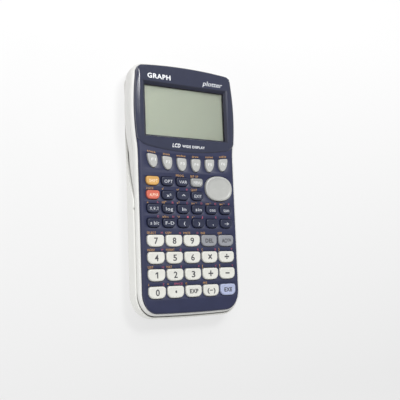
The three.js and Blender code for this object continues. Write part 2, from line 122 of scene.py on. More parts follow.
class Nodes:
    """A material's node tree, with short calls for what the recipes below repeat."""

    def __init__(self, name):
        self.material = bpy.data.materials.new(name)
        self.material.use_nodes = True
        self.tree = self.material.node_tree
        self.shader = self.tree.nodes["Principled BSDF"]
        self.place = self.tree.nodes.new("ShaderNodeTexCoord").outputs["Object"]

    def link(self, source, target):
        self.tree.links.new(source, target)

    def noise(self, scale, detail=3.0):
        node = self.tree.nodes.new("ShaderNodeTexNoise")
        node.inputs["Scale"].default_value = scale
        node.inputs["Detail"].default_value = detail
        self.link(self.place, node.inputs["Vector"])
        return node.outputs["Fac"]

    def spread(self, source, start, end, low=0.0, high=1.0):
        """Maps start..end of a source to low..high."""
        node = self.tree.nodes.new("ShaderNodeMapRange")
        limits = {"From Min": start, "From Max": end, "To Min": low, "To Max": high}
        for socket, value in limits.items():
            node.inputs[socket].default_value = value
        self.link(source, node.inputs["Value"])
        return node.outputs["Result"]

    def ramp(self, source, low, high):
        """Maps the middle part of a noise to low..high."""
        return self.spread(source, 0.3, 0.7, low, high)

    def along(self, axis, start, end, low=0.0, high=1.0):
        """Runs from low to high between two places on an axis, in metres."""
        split = self.tree.nodes.new("ShaderNodeSeparateXYZ")
        self.link(self.place, split.inputs["Vector"])
        return self.spread(split.outputs[axis], start, end, low, high)

    def mix(self, factor, first, second):
        node = self.tree.nodes.new("ShaderNodeMix")
        node.data_type = "RGBA"
        self.link(factor, node.inputs["Factor"])
        for socket, value in ((node.inputs["A"], first), (node.inputs["B"], second)):
            if isinstance(value, tuple):
                socket.default_value = value
            else:
                self.link(value, socket)
        return node.outputs["Result"]

    def bump(self, source, distance):
        """Adds fine relief, on top of any that is there already."""
        node = self.tree.nodes.new("ShaderNodeBump")
        node.inputs["Strength"].default_value = 1.0
        node.inputs["Distance"].default_value = distance
        self.link(source, node.inputs["Height"])
        if self.shader.inputs["Normal"].is_linked:
            self.link(self.shader.inputs["Normal"].links[0].from_socket, node.inputs["Normal"])
        self.link(node.outputs["Normal"], self.shader.inputs["Normal"])

    def edges(self):
        """A factor that is 1 on worn convex edges and 0 elsewhere."""
        point = self.tree.nodes.new("ShaderNodeNewGeometry").outputs["Pointiness"]
        return self.spread(point, 0.52, 0.62)


def shade(colour, factor):
    return tuple(min(c * factor, 1.0) for c in colour[:3]) + (1.0,)


def plastic(name, colour, roughness, grain=0.00001, variation=0.06, wear=1.12, coat=0.0):
    """Moulded plastic: mottled colour, paler worn edges, uneven gloss and a fine moulded grain."""
    n = Nodes(name)
    mottled = n.mix(n.ramp(n.noise(120), 0, 1), shade(colour, 1 - variation), shade(colour, 1 + variation))
    n.link(n.mix(n.edges(), mottled, shade(colour, wear)), n.shader.inputs["Base Color"])
    n.link(n.ramp(n.noise(450, 5), roughness - 0.05, roughness + 0.05), n.shader.inputs["Roughness"])
    n.shader.inputs["Coat Weight"].default_value = coat
    n.shader.inputs["Coat Roughness"].default_value = 0.1
    n.bump(n.noise(5000, 2), grain)
    return n.material


WHITE_GRAIN = {"grain": 0.000012, "variation": 0.012, "wear": 1.03}
EVEN = {"variation": 0.02}
MILD = {"variation": 0.03}
# name: (colour, roughness, what differs from plain plastic)
PLASTICS = {
    "case_white": ((224, 224, 221), 0.38, WHITE_GRAIN),
    "rear_white": ((220, 220, 217), 0.38, WHITE_GRAIN),
    "cover_white": ((230, 230, 226), 0.42, {**WHITE_GRAIN, "grain": 0.000014}),
    "panel_navy": ((38, 43, 74), 0.45, {}),
    "bezel_navy": ((39, 44, 68), 0.16, {"grain": 0.000002, "coat": 0.8}),
    "key_white": ((220, 220, 213), 0.36, {**EVEN, "wear": 1.04}),
    "key_navy": ((38, 43, 66), 0.34, {}),
    "key_grey": ((146, 148, 154), 0.36, MILD),
    "key_silver": ((180, 181, 178), 0.34, MILD),
    "menu_grey": ((154, 156, 155), 0.34, MILD),
    "key_blue": ((173, 181, 211), 0.36, MILD),
    "key_orange": ((208, 162, 92), 0.36, MILD),
    "key_red": ((208, 106, 87), 0.36, MILD),
    "mat_rubber": ((140, 142, 139), 0.8, {}),
    # the display well's walls: a rougher, matte navy whose darker colour than the display panel's is painted
    # shade
    "well_navy_painted_shade": ((30, 33, 52), 0.6, {}),
    "board_green": ((40, 100, 62), 0.45, {}),
    "ink_white": ((232, 234, 238), 0.5, EVEN),
    "ink_legend": ((208, 211, 217), 0.5, EVEN),
    "ink_cream": ((244, 222, 196), 0.5, EVEN),
    "ink_pale": ((226, 227, 226), 0.5, EVEN),
    "ink_dark": ((70, 70, 74), 0.5, {}),
    "ink_yellow": ((198, 152, 88), 0.5, {}),
    "ink_red": ((172, 78, 100), 0.5, {}),
    "socket_dark": ((40, 40, 44), 0.5, {}),
    "foot_rubber": ((120, 121, 122), 0.8, {"variation": 0.1}),
}
MATERIALS = {
    name: plastic(f"{name}_finish", linear(*srgb), roughness, **options)
    for name, (srgb, roughness, options) in PLASTICS.items()
}


def metal(name, colour, roughness):
    """Plated steel: mottled colour, uneven gloss and a fine grain."""
    n = Nodes(name)
    n.shader.inputs["Metallic"].default_value = 1.0
    mottled = n.mix(n.ramp(n.noise(200), 0, 1), shade(colour, 0.9), shade(colour, 1.05))
    n.link(mottled, n.shader.inputs["Base Color"])
    n.link(n.ramp(n.noise(900, 4), roughness - 0.08, roughness + 0.08), n.shader.inputs["Roughness"])
    n.bump(n.noise(4000, 2), 0.000006)
    return n.material


MATERIALS["cell_steel"] = metal("cell_steel", linear(190, 192, 196), 0.3)
MATERIALS["screw_steel"] = metal("screw_steel", linear(176, 176, 180), 0.35)


def clear_window():
    n = Nodes("clear_window")
    n.shader.inputs["Base Color"].default_value = (1, 1, 1, 1)
    n.shader.inputs["Transmission Weight"].default_value = 1.0
    n.shader.inputs["IOR"].default_value = 1.45
    n.link(n.ramp(n.noise(300), 0.02, 0.05), n.shader.inputs["Roughness"])
    return n.material


def liquid_crystal():
    """The grey-green film of the display, painted a little darker from left to right: painted shade for how
    the light falls off across the display.
    """
    n = Nodes("liquid_crystal_film")
    colour = linear(196, 205, 184)
    across = n.along("X", -WINDOW_HALF * MM, WINDOW_HALF * MM)
    # painted shade: the film's colour runs from lighter at the left to darker at the right
    n.link(n.mix(across, shade(colour, 1.1), shade(colour, 0.87)), n.shader.inputs["Base Color"])
    n.link(n.ramp(n.noise(600), 0.30, 0.38), n.shader.inputs["Roughness"])
    n.bump(n.noise(3000, 2), 0.000004)
    return n.material


MATERIALS["window_clear"] = clear_window()
MATERIALS["liquid_crystal"] = liquid_crystal()


# ---- Meshes ----
def new_object(name, data):
    made = bpy.data.objects.new(name, data)
    bpy.context.scene.collection.objects.link(made)
    return made


def applied(piece):
    """A new mesh of an object, with its modifier or its text turned into faces."""
    bpy.context.view_layer.update()
    return bpy.data.meshes.new_from_object(piece.evaluated_get(bpy.context.evaluated_depsgraph_get()))


def finish_mesh(mesh, sharp_degrees=32):
    mesh.validate()
    mesh.shade_smooth()
    mesh.set_sharp_from_angle(angle=math.radians(sharp_degrees))


class Build:
    """Points and faces of one piece in the making."""

    def __init__(self):
        self.points = []
        self.faces = []
        self.slots = []

    def ring(self, points):
        start = len(self.points)
        self.points += points
        return list(range(start, len(self.points)))

    def band(self, lower, upper, slot=0):
        count = len(lower)
        for i in range(count):
            j = (i + 1) % count
            self.faces.append((lower[i], lower[j], upper[j], upper[i]))
            self.slots.append(slot)

    def cap(self, ring, up=True, slot=0):
        self.faces.append(tuple(ring if up else reversed(ring)))
        self.slots.append(slot)

    def stack(self, rings, slot=0, closed=False, caps=True):
        """Skins rings, each a list of points, from the bottom up, and caps or closes the ends."""
        made = [self.ring(r) for r in rings]
        for lower, upper in zip(made, made[1:]):
            self.band(lower, upper, slot)
        if closed:
            self.band(made[-1], made[0], slot)
        elif caps:
            self.cap(made[0], up=False, slot=slot)
            self.cap(made[-1], slot=slot)
        return made

    def flat(self, outer, holes, up=True, slot=0):
        """Fills the space between an outer ring and its holes, all already in the build."""
        loops = [outer, *holes]
        lookup = [i for loop in loops for i in loop]
        triangles = tessellate_polygon([[Vector(self.points[i]) for i in loop] for loop in loops])
        for a, b, c in triangles:
            pa, pb, pc = (Vector(self.points[lookup[i]]) for i in (a, b, c))
            facing_up = (pb - pa).cross(pc - pa).z > 0
            order = (a, b, c) if facing_up == up else (c, b, a)
            self.faces.append(tuple(lookup[i] for i in order))
            self.slots.append(slot)

    def piece(self, name, materials, **options):
        """A new object in metres. Each face's slot is its place in the list of materials."""
        mesh = bpy.data.meshes.new(name)
        mesh.from_pydata([Vector(p) * MM for p in self.points], [], self.faces)
        for material in materials:
            mesh.materials.append(MATERIALS[material])
        mesh.polygons.foreach_set("material_index", self.slots)
        finish_mesh(mesh, **options)
        return new_object(name, mesh)


def at_height(outline, z):
    return [(x, y, z) for x, y in outline]


def at_depth(outline, y):
    """Places an outline in X and Z at one place along Y."""
    return [(x, y, z) for x, z in outline]


def rectangle(low, high, z, inset=0.0):
    x0, y0 = low[0] + inset, low[1] + inset
    x1, y1 = high[0] - inset, high[1] - inset
    return at_height([(x0, y0), (x1, y0), (x1, y1), (x0, y1)], z)


def boolean(piece, cutter, operation):
    """Applies one boolean and removes the cutter."""
    modifier = piece.modifiers.new("cut", "BOOLEAN")
    modifier.object = cutter
    modifier.operation = operation
    modifier.solver = "EXACT"
    made = applied(piece)
    piece.modifiers.clear()
    piece.data = made
    bpy.data.objects.remove(cutter)
    finish_mesh(made)


def cut(piece, cutter):
    boolean(piece, cutter, "DIFFERENCE")


# ---- Outlines ----
def smooth_max(a, b, blend):
    return (a + b + math.hypot(a - b, blend)) / 2


def side_half(y, body):
    """Half width of a body at one point along its length; it swells beside the display."""
    if not body["bulge"]:
        return body["half"]
    swell = body["bulge"] - (y - BULGE_Y) ** 2 / (2 * BULGE_RADIUS)
    return body["half"] + smooth_max(0, swell, 0.4) - 0.05


def shrunk(body, inset):
    return {
        **body,
        "half": body["half"] - inset,
        "low": body["low"] + inset,
        "high": body["high"] - inset,
        "low_corner": tuple(max(r - inset, 2) for r in body["low_corner"]),
        "high_corner": tuple(max(r - inset, 1.5) for r in body["high_corner"]),
    }


LOW_BOW = 0.9
HIGH_BOW = 2.1


def half_outline(body, steps=12):
    """The right half of a body outline, from the middle of the keyboard end round to that of the
    display end. Both ends are slightly bowed."""
    low_x, low_y = body["low_corner"]
    high_x, high_y = body["high_corner"]
    half = body["half"]
    points = []
    for i in range(6):
        x = i / 6 * (half - low_x)
        points.append((x, body["low"] + LOW_BOW * (x / half) ** 2))
    low_end = body["low"] + LOW_BOW * ((half - low_x) / half) ** 2
    for i in range(steps + 1):
        turn = i / steps * math.pi / 2
        y = low_end + low_y * (1 - math.cos(turn))
        points.append((side_half(y, body) - low_x * (1 - math.sin(turn)), y))
    high_half = side_half(body["high"], body)
    high_end = body["high"] - HIGH_BOW * ((high_half - high_x) / half) ** 2
    side_to = high_end - high_y
    side_from = points[-1][1] + 8
    count = 40 if body["bulge"] else 12
    for i in range(count):
        y = side_from + (side_to - side_from) * i / count
        points.append((side_half(y, body), y))
    for i in range(steps + 1):
        turn = i / steps * math.pi / 2
        y = high_end - high_y * (1 - math.sin(turn))
        points.append((side_half(y, body) - high_x * (1 - math.cos(turn)), y))
    for i in range(1, 7):
        x = (1 - i / 6) * (high_half - high_x)
        points.append((x, body["high"] - HIGH_BOW * (x / half) ** 2))
    return points


def mirrored(right):
    return right + [(-x, y) for x, y in reversed(right[1:-1])]


def body_outline(body, inset=0):
    return mirrored(half_outline(shrunk(body, inset)))


def shell_stack(body, steps):
    """Rings of a body whose inset changes with height: a list of (z, inset)."""
    return [at_height(body_outline(body, inset), z) for z, inset in steps]


def rounded_steps(low, high, radius, count):
    """(z, inset) pairs for a side with a quarter-round top edge."""
    steps = [(low, 0)]
    for i in range(count + 1):
        turn = i / count * math.pi / 2
        steps.append((high - radius * (1 - math.sin(turn)), radius * (1 - math.cos(turn))))
    return steps


def bezier(points, count):
    """Points along a cubic curve, its ends included."""
    made = []
    for i in range(count + 1):
        t = i / count
        weights = ((1 - t) ** 3, 3 * t * (1 - t) ** 2, 3 * t * t * (1 - t), t**3)
        made.append(tuple(sum(w * p[k] for w, p in zip(weights, points)) for k in (0, 1)))
    return made


# ---- Cases and cover ----
def under_sweep(sweep):
    """A block across the whole width, under an edge that sweeps down towards the display end."""
    profile = [(-200, -20), (200, -20), (200, sweep[3][1] - 0.6)]
    profile += list(reversed(bezier(sweep, 40)))
    profile += [(-200, sweep[0][1])]
    return solid_stack("sweep_cutter", [[(x, y, z) for y, z in profile] for x in (-PAST_X, PAST_X)])


def solid_stack(name, rings, material="case_white"):
    build = Build()
    build.stack(rings)
    return build.piece(name, [material])


def cutter_block(low, high):
    return solid_stack("block_cutter", [rectangle(low, high, low[2]), rectangle(low, high, high[2])])


def circle(x, y, radius, count=32):
    return [
        (x + radius * math.cos(2 * math.pi * i / count), y + radius * math.sin(2 * math.pi * i / count))
        for i in range(count)]


def bar(x, y, width, height, steps=6):
    """A flat bar with round ends, lying along X."""
    reach = (width - height) / 2
    points = []
    for side in (1, -1):
        for i in range(steps + 1):
            turn = math.pi * (i / steps - 0.5) + (0 if side > 0 else math.pi)
            points.append((x + side * reach + height / 2 * math.cos(turn), y + height / 2 * math.sin(turn)))
    return points


def sunk(outline, depth, low, slope=0.15):
    """A cutter that sinks an outline into a face that looks down, at height low. The mouth is wider
    than the floor by the slope."""
    centre = (sum(x for x, _ in outline) / len(outline), sum(y for _, y in outline) / len(outline))
    mouth = scaled(outline, centre, 1 + slope)
    rings = [at_height(mouth, low - 1), at_height(mouth, low), at_height(outline, low + depth)]
    return solid_stack("sunk_cutter", rings)


def along_y(outline, low, high):
    """A cutter along Y, from an outline in X and Z."""
    return solid_stack("socket_cutter", [at_depth(outline, high), at_depth(outline, low)])


def make_upper_case():
    """The light frame: a tube of rings round the panel, with a soft outer edge and a ledge inside."""
    base = mm_box("upper_case")[0].z
    edge = [
        (2.7, 0.0), (2.2, 0.07), (1.7, 0.17), (1.2, 0.33), (0.85, 0.5), (0.55, 0.72), (0.3, 1.0),
        (0.12, 1.28), (0, 1.6),
    ]
    gap = -0.3
    ledge_inset = 1.2
    rings = shell_stack(SHELL, [(base, 0.25), (base + 0.25, 0)])
    rings += shell_stack(SHELL, [(FRAME_TOP - drop, inset) for drop, inset in edge])
    rings += shell_stack(PANEL, [
        (FRAME_TOP, gap - 0.12), (FRAME_TOP - 0.12, gap), (LEDGE, gap), (LEDGE, ledge_inset),
        (base, ledge_inset),
    ])
    build = Build()
    build.stack(rings, closed=True)
    piece = build.piece("upper_case_shell", ["case_white"])
    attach(piece, "housing")
    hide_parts("upper_case")


def make_rear_case():
    """The rear shell: narrower where the cover wraps it, hollow, and open at the door and sockets."""
    low, high = mm_box("rear_case")
    full = solid_stack("rear_case_shell", shell_stack(SHELL, [
        (low.z, 4.0), (2.7, 3.2), (3.3, 2.5), (4.1, 1.85), (5.2, 1.3), (6.6, 0.9), (8.2, 0.6), (9.8, 0.4),
        (11.6, 0.2), (high.z - 0.2, 0), (high.z, 0.2),
    ]), "rear_white")
    in_cover = solid_stack("in_cover", shell_stack(OPEN_COVER, [
        (low.z - 1, 6.4), (low.z, 6.4), (2.7, 5.2), (3.3, 4.3), (4.1, 3.45), (4.9, 2.8), (5.9, 2.3),
        (6.9, 2.0), (13.2, 2.0), (13.25, 2.9), (high.z + 1, 2.9),
    ]))
    above = cutter_block((-PAST_X, -PAST_Y, -10), (PAST_X, PAST_Y, 40))
    cut(above, under_sweep(CASE_SWEEP))
    boolean(above, in_cover, "UNION")
    boolean(full, above, "INTERSECT")
    cavity = [(3.5, 4.2), (4.5, 2.6), (6, 1.6), (9, 1.2), (40, 1.2)]
    cut(full, solid_stack("cavity", shell_stack(PANEL, cavity)))
    door_low, door_high = mm_box("battery_cover")
    gap = 0.3
    cut(full, cutter_block(
        (door_low.x - gap, door_low.y - gap, -10),
        (door_high.x + gap, door_high.y + gap, door_high.z + 1),
    ))
    cut(full, along_y(bar(*USB, 3), 80, 100))
    cut(full, along_y(circle(*LINK), 80, 100))
    for x, y in SCREWS:
        cut(full, sunk(circle(x, y, 2.9), 0.8, low.z))
    for x, y in FEET:
        cut(full, sunk(circle(x, y, 2.7), 0.4, low.z, 0.04))
    cut(full, sunk(circle(*RESET_HOLE, 0.9, 20), 0.9, low.z))
    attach(full, "housing")
    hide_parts("rear_case")


def make_slide_cover():
    """The cover: a tray with swept side walls, a grooved rim at its closed end and grip grooves."""
    cover = solid_stack("slide_cover_shell", shell_stack(COVER, [
        (0, 6.0), (0.25, 4.9), (0.7, 3.85), (1.4, 2.75), (2.3, 1.85), (3.5, 1.05), (4.9, 0.45), (6.5, 0.1),
        (8.5, 0), (14.0, 0), (14.28, 0.12), (14.4, 0.4),
    ]), "cover_white")
    inside = solid_stack("inside", shell_stack(OPEN_COVER, [
        (1.6, 6.2), (1.9, 5.2), (2.6, 3.8), (3.4, 2.9), (4.2, 2.3), (5.2, 1.8), (6.5, 1.5), (13.45, 1.5),
        (13.5, 2.65), (40, 2.65),
    ]))
    cut(cover, inside)
    groove = solid_stack("groove", shell_stack(OPEN_COVER, [(GROOVE_FLOOR, GROOVE_RIM), (40, GROOVE_RIM)]))
    boolean(groove, cutter_block((-PAST_X, -PAST_Y, 0), (PAST_X, GROOVE_END, 50)), "INTERSECT")
    cut(cover, groove)
    boolean(cover, under_sweep(COVER_SWEEP), "INTERSECT")
    for side in (1, -1):
        wall = side * 42
        cut(cover, cutter_block((wall - 2, NOTCH_FROM, NOTCH_FLOOR), (wall + 2, NOTCH_TO, 15)))
        for i in range(6):
            cut(cover, sunk(bar(0, side * (48 + 3.4 * i), 30 - 2.2 * i, 1.5), 0.35, 0.0))
    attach(cover, "slide_cover")
    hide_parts("slide_cover")


def screw_head(build, x, y, low, radius=2.6):
    """A round head that looks down, with a cross recess."""
    arm, half = 1.5, 0.3
    cross = [(half, half), (half, arm), (-half, arm), (-half, half), (-arm, half), (-arm, -half),
             (-half, -half), (-half, -arm), (half, -arm), (half, -half), (arm, -half), (arm, half)]
    face = at_height(circle(x, y, radius - 0.35), low)
    edge = at_height(circle(x, y, radius), low + 0.15)
    back = at_height(circle(x, y, radius), low + 0.45)
    made = build.stack([face, edge, back], caps=False)
    cross_low = build.ring(at_height([(x + px, y + py) for px, py in cross], low))
    cross_deep = build.ring(at_height([(x + px * 0.85, y + py * 0.85) for px, py in cross], low + 0.35))
    build.flat(made[0], [cross_low], up=False)
    build.band(cross_deep, cross_low)
    build.cap(cross_deep, up=False)
    build.cap(made[-1])


def make_fasteners():
    """The case screws and the rubber feet, in the rear shell's counterbores."""
    low = mm_box("rear_case")[0].z
    build = Build()
    for x, y in SCREWS:
        screw_head(build, x, y, low + 0.3)
    screws = build.piece("case_screws", ["screw_steel"])
    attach(screws, "housing")
    build = Build()
    for x, y in FEET:
        build.stack([
            at_height(circle(x, y, radius), low + rise)
            for radius, rise in ((2.1, -0.25), (2.45, -0.1), (2.55, 0.35))
        ])
    feet = build.piece("rubber_feet", ["foot_rubber"])
    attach(feet, "housing")


def make_battery_cover():
    """A flat door with a flexing latch tab between two slits, and grip grooves."""
    low, high = mm_box("battery_cover")
    chamfer = 0.25
    door = solid_stack("battery_door", [
        rectangle(low, high, low.z, chamfer), rectangle(low, high, low.z + chamfer),
        rectangle(low, high, high.z),
    ])
    tab_half, tab_length = 7.0, 10.0
    slit = 0.5
    for side in (1, -1):
        x = side * tab_half
        cut(door, cutter_block(
            (x - slit / 2, low.y - 1, low.z - 1), (x + slit / 2, low.y + tab_length, high.z + 1)))
    for i in range(4):
        cut(door, sunk(bar(0, low.y + 2.4 + 2.0 * i, 10, 0.9), 0.35, low.z))
    for i in range(9):
        cut(door, sunk(bar(0, low.y + 22 + 3.0 * i, 34, 1.0), 0.3, low.z))
    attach(door, "housing")
    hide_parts("battery_cover")


def make_sockets():
    """The plated shell and tongue of the USB socket, and the ring of the link socket."""
    x, z, width, height = USB
    build = Build()
    mouth, deep = 88.4, 81.0
    outer = bar(x, z, width - 0.4, height - 0.4, 3)
    inner = bar(x, z, width - 1.2, height - 1.2, 3)
    build.stack([
        at_depth(inner, deep + 0.5), at_depth(inner, mouth), at_depth(outer, mouth), at_depth(outer, deep),
    ])
    link_x, link_z, link_radius = LINK
    build.stack([
        at_depth(circle(link_x, link_z, link_radius - inset), y)
        for inset, y in ((0.55, 82.5), (0.55, 88.6), (0.1, 88.6), (0.1, 82))
    ])
    shells = build.piece("socket_shells", ["screw_steel"])
    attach(shells, "housing")
    build = Build()
    tongue = bar(x, z + 0.3, width - 3.4, 1.3, 3)
    build.stack([at_depth(tongue, 87.2), at_depth(tongue, deep + 0.6)])
    tongue_piece = build.piece("socket_tongue", ["socket_dark"])
    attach(tongue_piece, "housing")


# ---- Key shapes ----
def key_outline(x, y, width, height, top_radius, low_radius, bow, inset=0.0, corner_steps=8):
    """A rounded rectangle with its own corner radii and a bowed lower edge, anticlockwise."""
    half_x = width / 2 - inset
    half_y = height / 2 - inset
    corners = ((1, 1, top_radius), (-1, 1, top_radius), (-1, -1, low_radius), (1, -1, low_radius))
    points = []
    for number, (side_x, side_y, radius) in enumerate(corners):
        radius = max(radius - inset, 0.3)
        for step in range(corner_steps + 1):
            turn = (number + step / corner_steps) * math.pi / 2
            px = side_x * (half_x - radius) + radius * math.cos(turn)
            py = side_y * (half_y - radius) + radius * math.sin(turn)
            points.append((px, py))
        if number in (0, 2):
            for share in (0.25, 0.5, 0.75):
                span = half_x - (top_radius if number == 0 else low_radius)
                px = (1 - 2 * share) * max(span, 0.1) * (1 if number == 0 else -1)
                points.append((px, half_y if number == 0 else -half_y))
    return [(x + px, y + py + (bow * ((px / half_x) ** 2 - 0.5) if py < 0 else 0)) for px, py in points]


SOFT_Y = 16.9
SOFT_ARC = 1.7 / 30**2  # the soft keys lie along a shallow arc under the display panel
SOFT_HALF_X = 3.9
SOFT_HALF_Y = 4.775
SOFT_LEAN = -0.042  # the tips lean towards the middle, the more the further out


def soft_place(number):
    across = (number - 3.5) * COLUMN
    return GRID_X + across, SOFT_Y + SOFT_ARC * across**2


def soft_outline(x, y, inset=0.0):
    """A soft key: a top edge that follows the display panel, running down to a rounded tip."""
    half_x = SOFT_HALF_X - inset
    half_y = SOFT_HALF_Y - inset
    across = x - GRID_X
    slope = 2 * SOFT_ARC * across
    lean = SOFT_LEAN * across
    right = bezier([(0, -0.97), (0.5, -0.97), (0.93, -0.35), (0.98, 0.3)], 12)
    right += bezier([(0.98, 0.3), (1.0, 0.72), (1.02, 1.0), (0.72, 1.01)], 10)[1:]
    right += bezier([(0.72, 1.01), (0.4, 1.03), (0.2, 1.03), (0, 1.03)], 4)[1:]
    points = []
    for u, v in mirrored(right):
        down = (1 - v) / 2
        points.append((x + u * half_x + lean * down, y + v * half_y + slope * u * half_x * (1 - down)))
    return points


PAD_HALF_X = 11.45
PAD_HALF_Y = 9.05
PAD_POWER = 2 / 2.25  # 1 for an ellipse; less is squarer


def pad_outline(inset=0.0, steps=72):
    points = []
    for i in range(steps):
        turn = i / steps * 2 * math.pi
        c, s = math.cos(turn), math.sin(turn)
        points.append((
            PAD_X + (PAD_HALF_X - inset) * math.copysign(abs(c) ** PAD_POWER, c),
            PAD_Y + (PAD_HALF_Y - inset) * math.copysign(abs(s) ** PAD_POWER, s),
        ))
    return points


def scaled(outline, centre, factor):
    return [(centre[0] + (x - centre[0]) * factor, centre[1] + (y - centre[1]) * factor) for x, y in outline]


CAP_HEIGHT = 0.69  # of the lettering's size
INK_RISE, INK_ROOT = 0.03, -0.06  # the lettering's top and bottom, from the face that it lies on


def text_mesh(words, size, weight=0.0, shear=0.0, spacing=1.0):
    """Points and faces of generic lettering with its own thickness, centred on the origin in the XY
    plane. weight is how far its strokes are fattened on each side, as a share of its size."""
    curve = bpy.data.curves.new("lettering", "FONT")
    curve.body = words
    curve.size = size
    curve.extrude = 0.5
    curve.shear = shear
    curve.offset = weight * size
    curve.space_character = spacing
    curve.resolution_u = 3
    holder = new_object("lettering", curve)
    mesh = applied(holder)
    bpy.data.objects.remove(holder)
    points = [v.co.copy() for v in mesh.vertices]
    faces = [tuple(p.vertices) for p in mesh.polygons]
    bpy.data.meshes.remove(mesh)
    middle_x = (min(p.x for p in points) + max(p.x for p in points)) / 2
    for p in points:
        p.x -= middle_x
        p.y -= CAP_HEIGHT * size / 2
    return points, faces


def add_text(build, words, size, x, y, width, surface, slot, weight=0.0, turn=0.0, **shape):
    """Adds lettering to a build, stretched to a width. surface(x, y) is the height it lies on."""
    points, faces = text_mesh(words, size, weight, **shape)
    squeeze = width / (max(p.x for p in points) - min(p.x for p in points))
    start = len(build.points)
    cos, sin = math.cos(turn), math.sin(turn)
    for p in points:
        px, py = p.x * squeeze, p.y
        px, py = x + px * cos - py * sin, y + px * sin + py * cos
        build.points.append((px, py, surface(px, py) + (INK_RISE if p.z > 0 else INK_ROOT)))
    for face in faces:
        build.faces.append(tuple(start + i for i in face))
        build.slots.append(slot)


# ---- Keys ----
# width, height, upper and lower corner radius, bow of the lower edge
SMALL_SHAPE = (10.1, 6.1, 1.7, 2.6, 0.5)
NUMBER_SHAPE = (13.2, 8.0, 2.1, 3.3, 0.7)
SOFT_FORM = {"shoulder": (0.8, 0.55), "dish": 0.05, "flange": 0.55}
SMALL_FORM = {"shoulder": (0.75, 0.7), "dish": 0.12, "flange": 0.55}
NUMBER_FORM = {"shoulder": (0.95, 0.8), "dish": 0.2, "flange": 0.6}
# name: (legend, width)
SMALL_LEGENDS = {
    "shift": ("SHIFT", 6.4), "option": ("OPT", 6.4), "variables": ("VAR", 6.2), "menu": ("MENU", 6.4),
    "alpha": ("ALPHA", 6.8), "square": ("x²", 3.9), "power": ("^", 2.8), "exit": ("EXIT", 5.9),
    "variable_x": ("X,θ,T", 7.2), "log": ("log", 5.5), "ln": ("ln", 3.2),
    "sin": ("sin", 5.0), "cos": ("cos", 4.9), "tan": ("tan", 4.9),
    "fraction": ("a b/c", 6.6), "convert": ("F-D", 6.8), "open_bracket": ("(", 1.2),
    "close_bracket": (")", 1.2), "comma": (",", 0.9), "store": ("→", 4.0),
}
# name: each legend's words, size, place from the key's middle, width and weight
NUMBER_LEGENDS = {
    **{str(d): [(str(d), 6.1, 0, 0, 3.0, 0.02)] for d in range(10)},
    "delete": [("DEL", 4.0, 0, 0, 6.8, 0.038)],
    "all_clear": [("AC", 4.0, -1.6, 0, 4.3, 0.032), ("/ON", 3.0, 2.4, 0.4, 3.8, 0.028)],
    "multiply": [("×", 8.0, 0, 0.2, 3.5, 0.02)],
    "divide": [("÷", 8.6, 0, 0.1, 4.0, 0.02)],
    "plus": [("+", 8.0, 0, 0.1, 4.1, 0.02)],
    "minus": [("−", 8.0, 0, 0, 3.6, 0.02)],
    "point": [("·", 12.0, 0, 0.1, 1.5, 0.02)],
    "exponent": [("EXP", 4.0, 0, 0, 7.0, 0.038)],
    "negate": [("(−)", 4.0, 0, 0, 6.8, 0.038)],
    "execute": [("EXE", 4.0, 0, 0, 6.8, 0.038)],
}
SMALL_INKS = {"shift": "ink_cream", "alpha": "ink_cream", "menu": "ink_pale"}
KEY_LOOKS = {"key_menu": "menu_grey"}  # darker than the other keys of its slot
KEY_SLOTS = {
    "shift": "key_orange", "alpha": "key_red", "menu": "key_silver",
    "delete": "key_grey", "all_clear": "key_grey", "execute": "key_blue",
}


def key_cap(node, outline, slot, ink, legends, shoulder, dish, flange):
    """A key: flange, stem, rounded shoulder and a slightly dished top, with its printed legend.
    outline(inset) gives its plan; shoulder is (width, drop) of the rounded edge."""
    low, high = mm_box(node)
    centre = ((low.x + high.x) / 2, (low.y + high.y) / 2)
    top = high.z
    wide, drop = shoulder
    taper = 0.1
    plan = [(-flange, low.z), (-flange, low.z + 0.8), (0, low.z + 0.9), (taper, top - drop)]
    for i in range(1, 7):
        turn = i / 6 * math.pi / 2
        plan.append((taper + wide * (1 - math.cos(turn)), top - drop * (1 - math.sin(turn))))
    rings = [at_height(outline(inset), z) for inset, z in plan]
    edge = outline(taper + wide)
    reach = max(abs(y - centre[1]) for _, y in edge)

    def surface(x, y):
        out = min(abs(y - centre[1]) / reach, 1.0)
        return top - dish * (1 - out * out)

    for factor in (0.85, 0.6, 0.3):
        rings.append([(x, y, surface(x, y)) for x, y in scaled(edge, centre, factor)])
    build = Build()
    build.stack(rings)
    for words, size, dx, dy, width, weight in legends:
        x, y = centre[0] + dx, centre[1] + dy
        if words == "1":
            add_one(build, size, x, y, surface, weight)
        else:
            spacing = 1.12 if len(words) > 2 else 1.0
            add_text(build, words, size, x, y, width, surface, 1, weight, spacing=spacing)
    piece = build.piece(f"{node}_cap", [KEY_LOOKS.get(node, slot), ink])
    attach(piece, node)
    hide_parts(node)


def add_one(build, size, x, y, surface, weight):
    """The figure 1 with a flag, which the lettering's own figure lacks."""
    stem = (0.1 + 2 * weight) * size
    half = CAP_HEIGHT * size / 2
    left = -stem * 0.2
    tip = left - stem * 1.3
    outline = [
        (left, -half), (left + stem, -half), (left + stem, half), (left, half),
        (tip, half - stem * 0.9), (tip, half - stem * 2.0), (left, half - stem * 1.3),
    ]
    build.stack([
        [(x + px, y + py, surface(x + px, y + py) + lift) for px, py in outline]
        for lift in (INK_ROOT, INK_RISE)
    ], slot=1)


